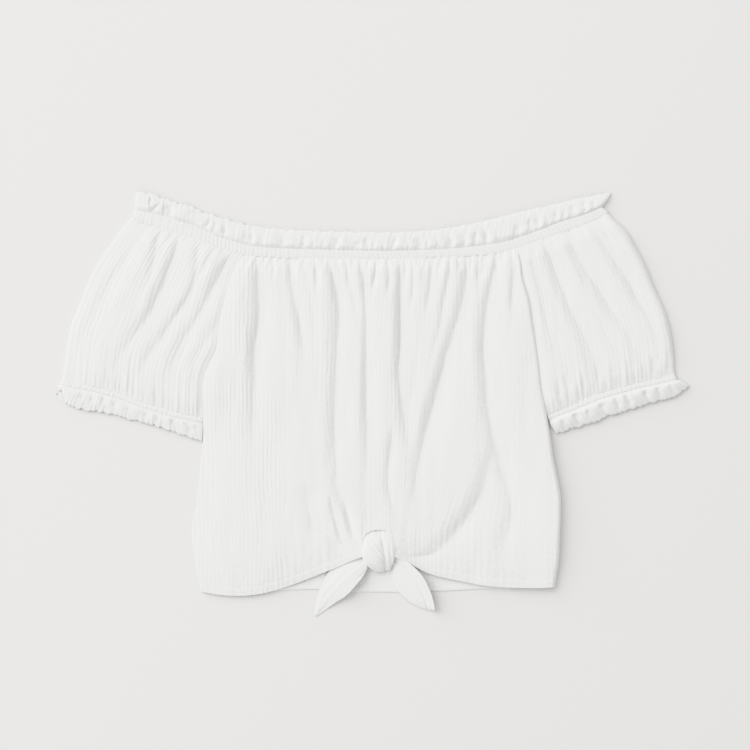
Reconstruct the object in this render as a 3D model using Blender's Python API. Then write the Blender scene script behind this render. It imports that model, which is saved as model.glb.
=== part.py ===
# Off-shoulder top of crinkled cotton gauze, laid flat with its front up.
#
# It lies on the plane z = 0, neckline towards +Y. Each cut piece is one object
# with a wall of its own: two panels, two wrapped sleeves, the elastic casings and
# ruffles at neck and cuffs, and the front's two tie ends with their knot.
#
# The plan is drawn in units of one 360th of the hem's width, x to the right and
# y down, as on a pattern sheet. Heights are in metres.

import math
from collections import namedtuple

import bmesh
import bpy
import numpy as np

# Driving sizes
HEM_WIDTH = 0.420
PLAN_UNITS_ACROSS_HEM = 360
CLOTH = 0.0012
SEAM_GAP = 0.0003
PUFF = 0.0050
RUFFLE_RISE = 0.0044

# Sizes that follow from them
UNIT = HEM_WIDTH / PLAN_UNITS_ACROSS_HEM
HALF_GAP = 0.55 * SEAM_GAP / UNIT
FLAT_TOP = 2 * CLOTH + SEAM_GAP
FOLD_TOP = 2 * CLOTH + 3 * SEAM_GAP
CREST = FLAT_TOP + PUFF
HEM_DEPTH = 8
HEM_EXTRA = 0.0004

# The plan point that lies at the world origin
MIDDLE = (371.13, 404.55)

# Mesh fineness
BODY_COLUMNS = 60
BODY_ROWS_BESIDE_SLEEVE = 12
BODY_ROWS_BELOW = 8
SLEEVE_COLUMNS = 22
TURN_STEPS = 4
KNOT_ARC = 18
TIE_ROWS = 9
TIE_COLUMNS = 6

# Plan lengths, in plan units, and the shares of the front's lower edge that are
# left hem, keyhole and right hem
PANEL_LENGTH = 330
SLEEVE_SHARE = 0.50
SLEEVE_LENGTH = 165
SLEEVE_WIDTH = 130
HEM_SHARES = (0, 0.40, 0.66, 1)

Fold = namedtuple("Fold", "x0 y0 x1 y1 x2 y2 x3 y3 depth steep gentle")
KnotRow = namedtuple("KnotRow", "y left right top")
Look = namedtuple("Look", "name red green blue roughness")

WHITE_GAUZE = Look("white_gauze", 0.84, 0.83, 0.81, 0.92)
GATHERED_GAUZE = Look("gathered_gauze", 0.82, 0.82, 0.80, 0.93)
KNOTTED_GAUZE = Look("knotted_gauze", 0.83, 0.82, 0.80, 0.92)

# Plan lines
NECK_SEAM = (
    (133, 218), (150, 225), (165, 230), (180, 234), (200, 240), (220, 248),
    (243, 254), (270, 256.5), (300, 258), (375, 259), (440, 257), (480, 255),
    (500, 252), (520, 247), (540, 240), (560, 233), (580, 226), (600, 218), (608, 212),
)
NECK_CASING_TOP = (
    (135, 210), (160, 215), (180, 221), (200, 228), (220, 237), (240, 243),
    (260, 247), (300, 249), (380, 251), (420, 250), (460, 248), (500, 243),
    (520, 237), (540, 230), (560, 222), (580, 216), (602, 207),
)
NECK_RUFFLE_TOP = (
    (137, 192), (150, 193), (170, 200), (190, 206), (210, 214), (230, 220),
    (250, 225), (280, 229), (320, 231), (400, 232), (440, 229), (480, 222),
    (520, 212), (560, 203), (580, 198), (612, 192),
)
BODY_LEFT = (
    (243, 254), (233, 272), (228, 290), (222, 312), (219, 330), (217, 348),
    (210, 363), (205, 375), (203, 390), (203, 440), (201, 460), (197, 500),
    (193, 520), (192, 540), (195, 560), (198, 580), (202, 592),
)
BODY_RIGHT = (
    (518, 247.6), (521, 265), (523, 280), (529, 300), (532, 320), (536, 345),
    (539, 365), (541, 385), (546, 410), (550, 432), (554, 460), (560, 490),
    (561, 510), (560, 540), (559, 560), (556, 580), (555, 587),
)
FRONT_HEM_LEFT = (
    (202, 592), (220, 595), (240, 596), (260, 594), (280, 589), (300, 582),
    (320, 574), (340, 566), (353, 560), (364.3, 556),
)
KEYHOLE = (
    (364.3, 556), (363.8, 549), (363.6, 541), (365, 535.5), (368.5, 532), (375, 529.8),
    (384, 529.8), (389.5, 533), (392, 538), (392.9, 547), (393, 556),
)
FRONT_HEM_RIGHT = (
    (393, 556), (400, 559), (412, 565), (425, 572), (440, 577), (460, 581), (480, 585),
    (500, 587), (520, 588), (540, 588), (555, 587),
)
BACK_HEM = (
    (202.6, 590), (250, 590), (312, 588), (340, 590), (400, 591), (440, 590),
    (480, 588), (520, 586.5), (554.6, 585.6),
)
LEFT_SLEEVE_OUTER = (
    (133, 218), (128, 221), (119, 232), (108, 248), (99, 261), (92, 274), (85, 290),
    (78, 308), (72, 322), (69, 335), (66, 351), (64, 367), (62, 380),
)
RIGHT_SLEEVE_OUTER = (
    (608, 212), (614, 219), (624, 228), (630, 236), (639, 252), (646, 266),
    (652, 281), (659, 297), (664, 308), (668, 320), (672, 338), (674, 356), (675, 375),
)
LEFT_CUFF_SEAM = (
    (203, 418), (179, 413), (157, 407), (139, 401), (121, 394), (99, 388), (80, 384), (62, 380),
)
LEFT_CASING_EDGE = (
    (202.6, 423), (178, 418), (156, 412), (138, 406), (120, 399), (98, 393), (79, 389), (60, 384.5),
)
LEFT_CUFF_HEM = (
    (202.4, 441.5), (182, 435), (170, 431), (152, 425), (140, 422), (123, 418),
    (103, 412.5), (83, 410), (65, 404), (54, 395),
)
RIGHT_CUFF_SEAM = (
    (547.2, 415), (575, 404), (600, 394), (620, 388), (639, 383), (657, 379), (675, 375),
)
RIGHT_CASING_EDGE = (
    (549.2, 420), (577, 409), (602, 399), (622, 393), (641, 388), (659, 384), (677, 379.5),
)
RIGHT_CUFF_HEM = (
    (556, 435), (569, 430), (582, 426), (598, 421), (607, 416.5), (620, 413),
    (636, 408), (652, 403), (675, 396.5), (683, 391), (690.4, 385.6),
)

# Valleys between the folds, each a line through four plan points. Depth is a
# share of the puff; steep and gentle are the widths of its two walls, the steep one
# on the left of a valley that runs down the plan.
BODY_FOLDS = (
    Fold(257, 258, 256, 300, 251, 400, 249, 478, 0.90, 5, 11),
    Fold(271, 258, 272, 272, 268, 290, 265, 304, 0.35, 3, 6),
    Fold(288, 258, 293, 300, 301, 340, 303, 378, 0.60, 4, 9),
    Fold(328, 258, 336, 310, 331, 430, 352, 545, 0.75, 7, 10),
    Fold(348, 260, 352, 280, 357, 298, 360, 312, 0.40, 3, 5),
    Fold(360, 258, 364, 350, 365, 440, 363, 515, 0.60, 4, 8),
    Fold(398, 252, 399, 320, 398, 390, 410, 455, 0.85, 4, 9),
    Fold(392, 428, 386, 470, 389, 500, 397, 532, 0.70, 4, 7),
    Fold(415, 258, 416, 275, 413, 295, 410, 310, 0.35, 3, 5),
    Fold(462, 256, 447, 340, 420, 450, 398, 540, 0.85, 5, 10),
    Fold(497, 254, 482, 345, 488, 415, 494, 462, 0.85, 5, 10),
    Fold(494, 462, 470, 505, 436, 547, 400, 557, 0.95, 6, 8),
    Fold(494, 440, 508, 500, 504, 535, 493, 562, 0.40, 6, 10),
    Fold(508, 250, 510, 270, 508, 300, 508, 332, 0.35, 3, 6),
    Fold(306, 505, 312, 525, 318, 545, 332, 553, 0.35, 8, 8),
    Fold(313, 518, 325, 532, 337, 547, 348, 557, 0.35, 3, 4),
)
LEFT_SLEEVE_FOLDS = (
    Fold(150, 226, 119, 262, 88, 320, 70, 364, 0.50, 4, 7),
    Fold(162, 228, 158, 238, 155, 247, 152, 256, 0.35, 3, 4),
    Fold(181, 233, 165, 285, 125, 343, 105, 376, 0.85, 5, 9),
    Fold(184, 260, 172, 305, 146, 345, 125, 385, 0.50, 4, 6),
    Fold(196, 236, 195, 246, 193, 254, 190, 262, 0.35, 3, 4),
    Fold(227, 252, 200, 305, 178, 346, 160, 388, 0.85, 6, 11),
)
RIGHT_SLEEVE_FOLDS = (
    Fold(540, 242, 563, 302, 585, 345, 601, 385, 0.85, 5, 9),
    Fold(563, 232, 585, 270, 620, 324, 643, 372, 0.85, 5, 9),
    Fold(590, 223, 612, 265, 645, 318, 661, 372, 0.85, 5, 9),
    Fold(598, 219, 600, 225, 603, 231, 606, 238, 0.35, 3, 4),
)
TIE_LEFT_UPPER = (
    (364.2, 557.5), (347, 562.5), (331, 571), (324, 582), (320, 590), (314.5, 607), (314.4, 614),
)
TIE_LEFT_LOWER = (
    (367.6, 570.5), (362, 578), (356, 585), (347, 595), (334, 605), (322, 613), (315.6, 616.8),
)
TIE_RIGHT_INNER = (
    (393.2, 557), (391.2, 567), (390, 577.5), (393, 587), (402, 596), (412, 604), (426, 609.6), (433, 611),
)
TIE_RIGHT_OUTER = (
    (398, 556.6), (410, 562), (418, 568), (423, 573.5), (427.5, 581), (430, 588), (433, 602), (434.4, 609),
)
TIE_HEIGHTS = (0.0082, 0.0078, 0.0068, 0.0052, 0.0044, 0.0040)
KNOT_ROWS = (
    KnotRow(533.6, 372.0, 385.0, 0.0070),
    KnotRow(535.5, 368.5, 388.5, 0.0105),
    KnotRow(540, 365.6, 391.0, 0.0145),
    KnotRow(547, 364.6, 392.0, 0.0168),
    KnotRow(554, 365.0, 392.0, 0.0172),
    KnotRow(561, 366.0, 391.4, 0.0160),
    KnotRow(567, 368.6, 389.6, 0.0130),
    KnotRow(571, 373.0, 386.0, 0.0085),
)


# Lines and patches
def smooth_line(points, steps=10):
    # A dense line through the points, by Catmull-Rom
    p = np.array(points, float)
    p = np.vstack([2 * p[0] - p[1], p, 2 * p[-1] - p[-2]])
    out = []
    for a, b, c, d in zip(p[:-3], p[1:-2], p[2:-1], p[3:]):
        t = np.arange(steps)[:, None] / steps
        out.append(
            0.5 * (2 * b + (c - a) * t + (2 * a - 5 * b + 4 * c - d) * t**2
                   + (3 * b - a - 3 * c + d) * t**3)
        )
    return np.vstack([*out, p[-2:-1]])


def spaced(line, where):
    # Points at these shares of the line's length
    steps = np.linalg.norm(np.diff(line, axis=0), axis=1)
    along = np.concatenate([[0], np.cumsum(steps)])
    at = np.asarray(where) * along[-1]
    return np.stack([np.interp(at, along, line[:, k]) for k in (0, 1)], axis=-1)


def cut_at(line, axis, value):
    # The line's part up to the first point past this value of x or y
    rising = line[-1, axis] > line[0, axis]
    beyond = line[:, axis] > value if rising else line[:, axis] < value
    i = int(np.argmax(beyond))
    t = (value - line[i - 1, axis]) / (line[i, axis] - line[i - 1, axis])
    end = line[i - 1] + t * (line[i] - line[i - 1])
    return np.vstack([line[:i], end]), np.vstack([end, line[i:]])


def coons(top, bottom, left, right, u, v):
    # A patch between four lines of points; u runs across and v down
    u = u[None, :, None]
    v = v[:, None, None]
    across = (1 - v) * top[None] + v * bottom[None]
    down = (1 - u) * left[:, None] + u * right[:, None]
    corners = (1 - v) * ((1 - u) * top[0] + u * top[-1]) + v * ((1 - u) * bottom[0] + u * bottom[-1])
    return across + down - corners


def trimmed(count, length):
    # Even shares from 0 to 1, short of both ends by half a seam gap
    g = HALF_GAP / length
    return np.linspace(g, 1 - g, count)


def world(plan, height):
    # Plan points and heights as points in metres
    x = (plan[..., 0] - MIDDLE[0]) * UNIT
    y = (MIDDLE[1] - plan[..., 1]) * UNIT
    return np.stack([x, y, np.broadcast_to(height, x.shape)], axis=-1)


# Folds
def valley(plan, fold):
    # How far a valley cuts into the puff at each plan point, from 0 to its depth
    line = spaced(smooth_line(((fold.x0, fold.y0), (fold.x1, fold.y1),
                               (fold.x2, fold.y2), (fold.x3, fold.y3))),
                  np.linspace(0, 1, 41))
    ahead = np.gradient(line, axis=0)
    gap = plan[..., None, :] - line
    near = np.argmin((gap**2).sum(-1), axis=-1)
    to = np.take_along_axis(gap, near[..., None, None], axis=-2)[..., 0, :]
    along = ahead[near]
    side = to[..., 0] * along[..., 1] - to[..., 1] * along[..., 0]
    width = np.where(side < 0, fold.steep, fold.gentle)
    d = np.linalg.norm(to, axis=-1) / width
    share = near / 40
    fade = np.clip(share / 0.08, 0.55, 1) * np.clip((1 - share) / 0.22, 0.25, 1)
    return fold.depth * fade * np.exp(0.3 - np.sqrt(d**2 + 0.09))


def fullness(plan, folds):
    # The puff that the valleys leave, from 0 to 1
    left = 1.0
    for fold in folds:
        left = left * (1 - valley(plan, fold))
    return left


def uneven(share, count, seed):
    # The phase of a row of gathers whose widths vary
    drift = 0.35 * np.sin(2 * math.pi * (2.3 * share + 0.17 * seed))
    drift = drift + 0.22 * np.sin(2 * math.pi * (5.7 * share + 0.41 * seed))
    return 2 * math.pi * (count * share + drift)


def gathers(share, count, seed):
    # Gathers from 0 to 1, uneven in width and height
    height = 0.75 + 0.25 * np.sin(2 * math.pi * (3.1 * share + 0.29 * seed))
    return height * (0.5 + 0.5 * np.sin(uneven(share, count, seed)))


def rounded(distance, reach):
    # Rises from 0 at an edge to 1 at reach, round like the edge of a pillow
    t = np.clip(distance / reach, 0, 1)
    return np.sqrt(t * (2 - t))


# Solids
def material(look):
    found = bpy.data.materials.get(look.name)
    if found:
        return found
    made = bpy.data.materials.new(look.name)
    made.use_nodes = True
    shader = made.node_tree.nodes["Principled BSDF"]
    shader.inputs["Base Color"].default_value = (look.red, look.green, look.blue, 1)
    shader.inputs["Roughness"].default_value = look.roughness
    shader.inputs["Metallic"].default_value = 0
    made.diffuse_color = (look.red, look.green, look.blue, 1)
    return made


def finish(name, bm, look):
    bmesh.ops.recalc_face_normals(bm, faces=bm.faces)
    mesh = bpy.data.meshes.new(name)
    bm.to_mesh(mesh)
    bm.free()
    mesh.shade_smooth()
    mesh.set_sharp_from_angle(angle=math.radians(50))
    mesh.materials.append(material(look))
    made = bpy.data.objects.new(name, mesh)
    bpy.context.scene.collection.objects.link(made)
    return made


def sheet(rows, columns, shown):
    # A grid whose vertices lie at the points shown[row, column], and their places in it
    bm = bmesh.new()
    bmesh.ops.create_grid(bm, x_segments=columns - 1, y_segments=rows - 1, size=1)
    row = bm.verts.layers.int.new("row")
    column = bm.verts.layers.int.new("column")
    for vert in bm.verts:
        vert[row] = round((vert.co.y + 1) / 2 * (rows - 1))
        vert[column] = round((vert.co.x + 1) / 2 * (columns - 1))
        vert.co = shown[vert[row], vert[column]]
    return bm, row, column


def cloth_wall(name, shown, hidden, look):
    # A sheet of cloth between its shown and its hidden side, closed all round its edges.
    # A sheet whose last column is its first is a ring.
    rows, columns = shown.shape[:2]
    bm, row, column = sheet(rows, columns, shown)
    bmesh.ops.remove_doubles(bm, verts=bm.verts, dist=1e-7)
    bmesh.ops.triangulate(bm, faces=bm.faces, quad_method="BEAUTY")
    moved = bmesh.ops.extrude_face_region(bm, geom=bm.faces[:])["geom"]
    for vert in moved:
        if isinstance(vert, bmesh.types.BMVert):
            vert.co = hidden[vert[row], vert[column]]
    return finish(name, bm, look)


def hidden_height(shown):
    # The cloth's other side, measured across the wall and kept above the back layer
    slope = 0.0
    for axis in (0, 1):
        step = np.gradient(shown, axis=axis)
        slope = slope + (step[..., 2] / np.linalg.norm(step[..., :2], axis=-1)) ** 2
    wall = CLOTH * np.sqrt(1 + np.minimum(slope, 1.2))
    return np.maximum(shown[..., 2] - wall, CLOTH + SEAM_GAP)


# Panels
def neck_lines():
    # The neck seam's parts along the left sleeve, the front and the right sleeve
    seam = smooth_line(NECK_SEAM)
    left_part, rest = cut_at(seam, 0, BODY_LEFT[0][0])
    middle, right_part = cut_at(rest, 0, BODY_RIGHT[0][0])
    return left_part, middle, right_part


def panel_shares():
    # Where the panels' rows lie along their sides; the sleeves' rows meet them
    g = HALF_GAP / PANEL_LENGTH
    beside_sleeve = np.linspace(g, SLEEVE_SHARE, BODY_ROWS_BESIDE_SLEEVE + 1)
    hem = HEM_DEPTH / PANEL_LENGTH
    below = np.linspace(SLEEVE_SHARE, 1 - hem - 4 * g, BODY_ROWS_BELOW + 1)
    return np.concatenate([beside_sleeve, below[1:], [1 - hem + 2 * g, 1 - g]])


def line_length(line):
    return np.linalg.norm(np.diff(line, axis=0), axis=1).sum()


def sleeve_seam(side, lowest):
    # The panel side that a sleeve joins, and the shares of it at the panel's rows
    whole = smooth_line(side)
    seam, _ = cut_at(whole, 1, lowest)
    shares = panel_shares() * line_length(whole) / line_length(seam)
    shares = shares[shares < 0.97]
    return seam, np.append(shares, 1 - HALF_GAP / line_length(seam))


def panel_plan(bottom, columns):
    u = trimmed(columns + 1, 310)
    v = panel_shares()
    top = spaced(neck_lines()[1], u)
    left = spaced(smooth_line(BODY_LEFT), v)
    right = spaced(smooth_line(BODY_RIGHT), v)
    return coons(top, bottom(u), left, right, u, v), u[None], v[:, None]


def front_bottom(u):
    # The left hem, the keyhole's edge round the knot and the right hem share u
    found = np.zeros((len(u), 2))
    parts = (FRONT_HEM_LEFT, KEYHOLE, FRONT_HEM_RIGHT)
    for start, end, part in zip(HEM_SHARES[:-1], HEM_SHARES[1:], parts):
        inside = (u >= start) & (u <= end)
        found[inside] = spaced(smooth_line(part), (u[inside] - start) / (end - start))
    return found


def back_bottom(u):
    return spaced(smooth_line(BACK_HEM), u)


def front_height(plan, u, v):
    width = np.linalg.norm(plan[:, -1] - plan[:, 0], axis=-1)[:, None]
    rim = rounded(np.minimum(u, 1 - u) * width, 14)
    from_neck = v * PANEL_LENGTH
    to_hem = (1 - v) * PANEL_LENGTH
    free_side = np.clip((plan[..., 1] - 400) / 60, 0, 1)
    puff = fullness(plan, BODY_FOLDS)
    puff = puff * (1 - 0.5 * gathers(u, 15, 1) * np.exp(-from_neck / 22))
    puff = puff * (rim + (1 - rim) * 0.45 * (1 - free_side))
    puff = puff * (0.55 + 0.45 * rounded(to_hem, 40)) * (0.45 + 0.55 * rounded(from_neck, 24))
    return FLAT_TOP + PUFF * puff + HEM_EXTRA * (to_hem < HEM_DEPTH)


def front_panel():
    plan, u, v = panel_plan(front_bottom, BODY_COLUMNS)
    shown = world(plan, front_height(plan, u, v))
    hidden = shown.copy()
    hidden[..., 2] = hidden_height(shown)
    return cloth_wall("front_panel", shown, hidden, WHITE_GAUZE)


def back_panel():
    plan, _, _ = panel_plan(back_bottom, BODY_COLUMNS // 2)
    return cloth_wall("back_panel", world(plan, CLOTH), world(plan, 0), WHITE_GAUZE)


# Wrapped pieces
def turn(start, outwards, height):
    # The half turn from the front layer to the back one: its shown and hidden points
    shown, hidden = [], []
    for step in range(1, TURN_STEPS):
        angle = math.pi * (0.5 - step / TURN_STEPS)
        for points, radius in ((shown, height / 2), (hidden, height / 2 - CLOTH)):
            plan = start + outwards * (radius / UNIT * math.cos(angle))[:, None]
            points.append(world(plan, height / 2 + radius * math.sin(angle)))
    return np.stack(shown, 1), np.stack(hidden, 1)


def unit(vectors):
    return vectors / np.linalg.norm(vectors, axis=-1, keepdims=True)


def sleeve(name, seam, outer, top, cuff, folds, seed):
    # One cut piece from its seam over the front, round the outer fold and back beneath
    u = trimmed(SLEEVE_COLUMNS + 1, SLEEVE_WIDTH)
    inner, v = sleeve_seam(*seam)
    plan = coons(spaced(top, u), spaced(cuff, u), spaced(inner, v), spaced(outer, v), u, v)
    outwards = unit(plan[:, -1] - plan[:, -2])
    reach = FOLD_TOP / 2 / UNIT
    plan = plan - outwards[:, None] * reach * u[None, :, None]
    width = np.linalg.norm(plan[:, -1] - plan[:, 0], axis=-1)[:, None]
    u, down = u[None], v[:, None] * SLEEVE_LENGTH
    up = SLEEVE_LENGTH - down
    puff = fullness(plan, folds)
    puff = puff * (1 - 0.5 * gathers(u, 7, seed) * np.exp(-down / 18))
    puff = puff * (1 - 0.6 * gathers(u, 10, seed + 1) * np.exp(-up / 15))
    puff = puff * (0.3 + 0.7 * rounded(u * width, 12)) * rounded((1 - u) * width, 16)
    puff = puff * (0.45 + 0.55 * rounded(down, 20)) * (0.45 + 0.55 * rounded(up, 20))
    front = world(plan, FOLD_TOP + (CREST - FOLD_TOP) * puff)
    under = front.copy()
    under[..., 2] = hidden_height(front)
    front[:, -1, 2] = FOLD_TOP
    under[:, -1, 2] = FOLD_TOP - CLOTH
    turned, inside = turn(plan[:, -1], outwards, np.full(len(v), FOLD_TOP))
    back = plan[:, ::-2]
    shown = np.concatenate([front, turned, world(back, 0)], axis=1)
    hidden = np.concatenate([under, inside, world(back, CLOTH)], axis=1)
    return cloth_wall(name, shown, hidden, WHITE_GAUZE)


def flat_ring(name, near, far, rise, scallop, columns, back_columns, rows, look=GATHERED_GAUZE):
    # A band that runs once round, pressed flat with its front layer over its back one.
    # near is its seam and far its other edge; rise and scallop say how its front waves.
    near, far = smooth_line(near), smooth_line(far)
    length = np.linalg.norm(np.diff(near, axis=0), axis=1).sum()
    inset = FOLD_TOP / 2 / UNIT / length
    end = HALF_GAP / np.linalg.norm(near[0] - far[0])
    v = np.linspace(end, 1 - end, rows + 1)[:, None]

    def laid(count, wave):
        share = np.linspace(inset, 1 - inset, count + 1)
        a, b = spaced(near, share), spaced(far, share)
        out = unit(b - a) * (scallop(share) * wave)[:, None]
        return a + v[..., None] * (b - a + out), share[None]

    plan, share = laid(columns, 1)
    back = laid(back_columns, 0.4)[0][:, ::-1]
    front = world(plan, rise(share, v))
    under = front.copy()
    under[..., 2] = hidden_height(front)
    ends = []
    for edge, next_in in ((-1, -2), (0, 1)):
        under[:, edge, 2] = front[:, edge, 2] - CLOTH
        ends.append(turn(plan[:, edge], unit(plan[:, edge] - plan[:, next_in]), front[:, edge, 2]))
    (right, right_in), (left, left_in) = ends
    shown = [front, right, world(back, 0), left[:, ::-1], front[:, :1]]
    hidden = [under, right_in, world(back, CLOTH), left_in[:, ::-1], under[:, :1]]
    return cloth_wall(name, np.concatenate(shown, axis=1), np.concatenate(hidden, axis=1), look)


def ruffle(name, near, far, waves, seed, columns, back_columns, rows, roll=0.0):
    # A gathered frill, flat at its seam and waving at its free edge
    def height(share, v):
        flat_ends = rounded(np.minimum(share, 1 - share) * waves, 0.8)
        wave = gathers(share, waves, seed) * flat_ends
        curl = roll * np.exp(-((share / 0.035) ** 2)) * v
        return FOLD_TOP + (0.0006 + RUFFLE_RISE * wave) * (0.15 + 0.85 * v) * flat_ends + curl

    def scallop(share):
        return 3.2 * (np.sin(uneven(share, waves, seed) - 1.1) * 0.5 - 0.35)

    return flat_ring(name, near, far, height, scallop, columns, back_columns, rows)


def casing(name, near, far, waves, seed, columns, back_columns):
    # A narrow elastic channel, closely gathered all along
    def height(share, v):
        flat_ends = rounded(np.minimum(share, 1 - share) * waves, 0.8)
        return FOLD_TOP + 0.0013 * gathers(share, waves, seed) * flat_ends

    def scallop(share):
        return 0 * share

    return flat_ring(name, near, far, height, scallop, columns, back_columns, 1)


# Knot and tie ends
def knot():
    # The tie ends' knot: two strands side by side, arching from the keyhole to below the hem
    base = CLOTH + SEAM_GAP
    rings = []
    for row in KNOT_ROWS:
        middle, half = (row.left + row.right) / 2, (row.right - row.left) / 2
        arc = np.linspace(math.pi, 0, KNOT_ARC + 1)
        x = middle + half * np.sign(np.cos(arc)) * np.abs(np.cos(arc)) ** 0.85
        groove = 0.0022 * np.exp(-(((x - row.left) / (2 * half) - 0.68) / 0.06) ** 2)
        z = base + (row.top - base - groove) * np.sin(arc) ** 0.7
        z[[0, -1]] = base + 0.0008
        floor = np.array([row.right - 1, middle, row.left + 1])
        x = np.concatenate([x, floor, x[:1]])
        z = np.concatenate([z, np.full(3, base), z[:1]])
        rings.append(world(np.stack([x, np.full_like(x, row.y)], axis=-1), z))
    shown = np.stack(rings)
    bm, _, _ = sheet(*shown.shape[:2], shown)
    bmesh.ops.remove_doubles(bm, verts=bm.verts, dist=1e-7)
    bmesh.ops.holes_fill(bm, edges=[edge for edge in bm.edges if edge.is_boundary])
    return finish("knot", bm, KNOTTED_GAUZE)


def tie(name, left, right, heights, ridge):
    # A tie end between two edges in plan, from the knot to its tip, with one soft lengthwise ridge
    v = np.linspace(0, 1, TIE_ROWS + 1)
    u = np.linspace(0, 1, TIE_COLUMNS + 1)
    a, b = spaced(smooth_line(left), v), spaced(smooth_line(right), v)
    plan = a[:, None] + u[None, :, None] * (b - a)[:, None]
    lift = np.interp(v, np.linspace(0, 1, len(heights)), heights)[:, None]
    crown = 0.0016 * np.exp(-(((u - ridge) / 0.22) ** 2)) * (1 - 0.6 * v[:, None])
    height = lift + crown
    return cloth_wall(name, world(plan, height), world(plan, height - CLOTH), KNOTTED_GAUZE)


def build():
    for old in list(bpy.data.objects):
        bpy.data.objects.remove(old, do_unlink=True)
    left_part, _, right_part = neck_lines()
    back_panel()
    front_panel()
    sleeve("sleeve_left", (BODY_LEFT, LEFT_CUFF_SEAM[0][1]), smooth_line(LEFT_SLEEVE_OUTER),
           left_part[::-1], smooth_line(LEFT_CUFF_SEAM), LEFT_SLEEVE_FOLDS, 3)
    sleeve("sleeve_right", (BODY_RIGHT, RIGHT_CUFF_SEAM[0][1]), smooth_line(RIGHT_SLEEVE_OUTER),
           right_part, smooth_line(RIGHT_CUFF_SEAM), RIGHT_SLEEVE_FOLDS, 6)
    casing("neck_casing", NECK_SEAM, NECK_CASING_TOP, 42, 2, 96, 48)
    casing("cuff_casing_left", LEFT_CUFF_SEAM, LEFT_CASING_EDGE, 16, 4, 40, 16)
    casing("cuff_casing_right", RIGHT_CUFF_SEAM, RIGHT_CASING_EDGE, 14, 5, 36, 16)
    ruffle("neck_ruffle", NECK_CASING_TOP, NECK_RUFFLE_TOP, 29, 7, 116, 48, 3, 0.004)
    ruffle("cuff_ruffle_left", LEFT_CASING_EDGE, LEFT_CUFF_HEM, 11, 8, 44, 16, 2)
    ruffle("cuff_ruffle_right", RIGHT_CASING_EDGE, RIGHT_CUFF_HEM, 10, 9, 40, 16, 2)
    knot()
    tie("tie_left", TIE_LEFT_UPPER, TIE_LEFT_LOWER, TIE_HEIGHTS, 0.35)
    tie("tie_right", TIE_RIGHT_INNER, TIE_RIGHT_OUTER, TIE_HEIGHTS, 0.6)


build()
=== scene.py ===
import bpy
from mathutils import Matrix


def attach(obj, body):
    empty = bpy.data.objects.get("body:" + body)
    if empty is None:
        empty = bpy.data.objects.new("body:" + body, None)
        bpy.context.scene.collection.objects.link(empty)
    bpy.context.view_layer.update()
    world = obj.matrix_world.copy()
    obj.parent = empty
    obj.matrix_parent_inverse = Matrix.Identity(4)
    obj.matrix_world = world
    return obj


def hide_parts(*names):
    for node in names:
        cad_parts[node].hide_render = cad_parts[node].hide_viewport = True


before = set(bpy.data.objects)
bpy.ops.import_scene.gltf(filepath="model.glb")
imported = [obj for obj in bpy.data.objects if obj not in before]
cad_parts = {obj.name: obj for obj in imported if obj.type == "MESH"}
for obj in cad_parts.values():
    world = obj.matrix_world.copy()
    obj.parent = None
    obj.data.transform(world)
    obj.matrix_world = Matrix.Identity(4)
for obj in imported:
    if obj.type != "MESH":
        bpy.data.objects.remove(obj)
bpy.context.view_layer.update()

import math

import bmesh
import bpy
import numpy as np

# The plan is drawn in 360ths of the hem's width, x to the right and y down
planUnit = 0.420 / 360
planMiddle = (371.13, 404.55)
seamLap = 0.8  # how far a piece runs under its neighbour, in plan units

# Colour, nodes and noise


def toLinear(hexText):
    parts = [int(hexText[i:i + 2], 16) / 255 for i in (1, 3, 5)]
    return [c / 12.92 if c < 0.04045 else ((c + 0.055) / 1.055) ** 2.4 for c in parts] + [1.0]


def addNode(tree, kind, settings=None, **links):
    # settings go to the node or to its sockets; a link is given as (node, output)
    node = tree.nodes.new(kind)
    for name, value in (settings or {}).items():
        if name in node.inputs:
            node.inputs[name].default_value = value
        else:
            setattr(node, name, value)
    for name, (source, output) in links.items():
        tree.links.new(source.outputs[output], node.inputs[name.replace("_", " ")])
    return node


def softNoise(x, y, wide, tall, seed):
    # Smooth hills from -1 to 1, about wide by tall plan units
    lattice = np.random.default_rng(seed).uniform(-1, 1, (128, 128))
    gx, gy = x / wide + 40.5, y / tall + 40.5
    ix, iy = np.floor(gx).astype(int), np.floor(gy).astype(int)
    fx, fy = gx - ix, gy - iy
    fx, fy = fx**3 * (fx * (6 * fx - 15) + 10), fy**3 * (fy * (6 * fy - 15) + 10)
    ix, iy, jx, jy = ix % 128, iy % 128, (ix + 1) % 128, (iy + 1) % 128
    top = lattice[iy, ix] * (1 - fx) + lattice[iy, jx] * fx
    low = lattice[jy, ix] * (1 - fx) + lattice[jy, jx] * fx
    return top * (1 - fy) + low * fy


# Plan lines, all from the same drawing

neckSeam = [(133, 218), (150, 225), (165, 230), (180, 234), (200, 240), (220, 248), (243, 254),
            (270, 256.5), (300, 258), (375, 259), (440, 257), (480, 255), (500, 252), (520, 247),
            (540, 240), (560, 233), (580, 226), (600, 218), (608, 212)]
neckCasingTop = [(135, 210), (160, 215), (180, 221), (200, 228), (220, 237), (240, 243), (260, 247),
                 (300, 249), (380, 251), (420, 250), (460, 248), (500, 243), (520, 237), (540, 230),
                 (560, 222), (580, 216), (602, 207)]
neckRuffleTop = [(137, 192), (150, 193), (170, 200), (190, 206), (210, 214), (230, 220), (250, 225),
                 (280, 229), (320, 231), (400, 232), (440, 229), (480, 222), (520, 212), (560, 203),
                 (580, 198), (612, 192)]
bodyLeft = [(243, 254), (233, 272), (228, 290), (222, 312), (219, 330), (217, 348), (210, 363),
            (205, 375), (203, 390), (203, 440), (201, 460), (197, 500), (193, 520), (192, 540),
            (195, 560), (198, 580), (202, 592)]
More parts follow.
